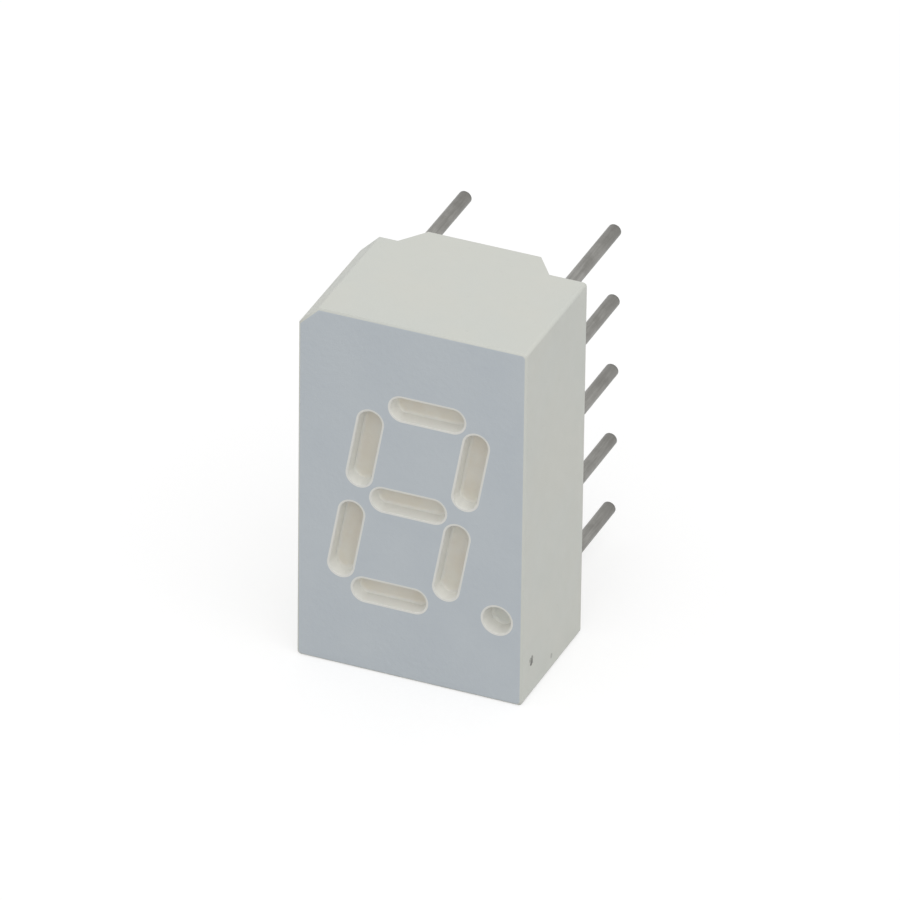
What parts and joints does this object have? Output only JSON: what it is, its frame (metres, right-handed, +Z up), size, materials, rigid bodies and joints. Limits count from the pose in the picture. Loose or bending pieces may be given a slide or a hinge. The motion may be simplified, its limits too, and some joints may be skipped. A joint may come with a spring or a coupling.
{
  "type": "seven segment display",
  "caption": "LED numeral display: white housing with a grey face, slanted cream segments, a decimal point and rows of round through-hole pins",
  "frame": {"origin": "centre of the grid of ten pins, on the seating plane: the plane through the tops of the two standoff ridges", "axes": "+Y is the way the pins point, away from the face; +Z is up the digit, along the pin columns; +X is to the right as the face is seen"},
  "size_m": [0.0076, 0.0102, 0.0126],
  "materials": {
    "housing": "matte, face painted grey",
    "resin": "cast resin, satin",
    "board": "glass laminate",
    "copper": "plated copper",
    "die": "sawn crystal",
    "wire": "drawn gold",
    "pin": "tinned, dull",
    "solder": "smooth solder",
    "seal": "poured resin"
  },
  "bodies": {
    "root": {"housing": "housing", "segment_a": "resin", "segment_b": "resin", "segment_c": "resin", "segment_d": "resin", "segment_e": "resin", "segment_f": "resin", "segment_g": "resin", "decimal_point": "resin", "circuit_board": "board", "common_track": "copper", "track_a": "copper", "track_b": "copper", "track_c": "copper", "track_d": "copper", "track_e": "copper", "track_f": "copper", "track_g": "copper", "track_point": "copper", "led_die_a": "die", "led_die_b": "die", "led_die_c": "die", "led_die_d": "die", "led_die_e": "die", "led_die_f": "die", "led_die_g": "die", "led_die_point": "die", "bond_wire_a": "wire", "bond_wire_b": "wire", "bond_wire_c": "wire", "bond_wire_d": "wire", "bond_wire_e": "wire", "bond_wire_f": "wire", "bond_wire_g": "wire", "bond_wire_point": "wire", "pin_1": "pin", "pin_2": "pin", "pin_3": "pin", "pin_4": "pin", "pin_5": "pin", "pin_6": "pin", "pin_7": "pin", "pin_8": "pin", "pin_9": "pin", "pin_10": "pin", "solder_joint_1": "solder", "solder_joint_2": "solder", "solder_joint_3": "solder", "solder_joint_4": "solder", "solder_joint_5": "solder", "solder_joint_6": "solder", "solder_joint_7": "solder", "solder_joint_8": "solder", "solder_joint_9": "solder", "solder_joint_10": "solder", "rear_seal": "seal"}
  },
  "joints": []
}
